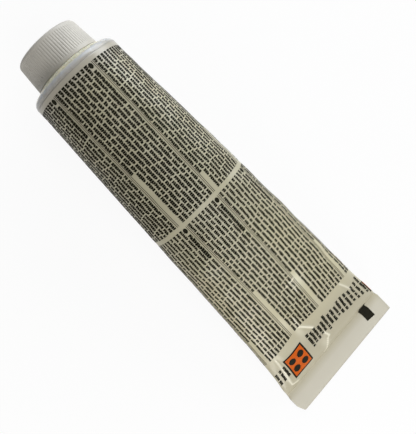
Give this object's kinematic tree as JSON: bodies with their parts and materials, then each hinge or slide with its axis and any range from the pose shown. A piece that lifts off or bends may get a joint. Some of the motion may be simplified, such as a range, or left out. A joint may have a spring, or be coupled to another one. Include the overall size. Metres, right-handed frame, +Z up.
{
  "type": "hardener tube",
  "caption": "Flat-sealed plastic squeeze tube of hardener paste lying on its side, with a fluted screw cap that turns and lifts off the threaded neck.",
  "frame": {"origin": "on the surface that the tube lies on, under the middle of its length and width", "axes": "+X along the tube from the cap to the flat seal, +Z up, +Y across the seal"},
  "size_m": [0.1758, 0.0596, 0.0382],
  "materials": {
    "sleeve_plastic": "satin printed polyethylene, off-white",
    "head_plastic": "moulded polyethylene, off-white",
    "cap_plastic": "moulded, matt white, finely fluted",
    "liner_foam": "closed-cell foam",
    "paste": "smooth paste"
  },
  "bodies": {
    "tube": {"sleeve": "sleeve_plastic", "tube_head": "head_plastic", "paste": "paste"},
    "liner": {"cap_liner": "liner_foam"},
    "cap": {"screw_cap": "cap_plastic"}
  },
  "joints": [
    {"name": "cap_lift", "type": "slide", "parent": "tube", "child": "liner", "axis": [-0.9977, 0, 0.0671], "range_m": [0, 0.0127]},
    {"name": "cap_turn", "type": "hinge", "parent": "liner", "child": "cap", "pos_m": [-0.07109, 0, 0.01922], "axis": [-0.9977, 0, 0.0671], "range_deg": [0, 1440]}
  ],
  "couplings": [
    {"joint": "cap_lift", "follows": "cap_turn", "m_per_rad": 0.00050532}
  ]
}
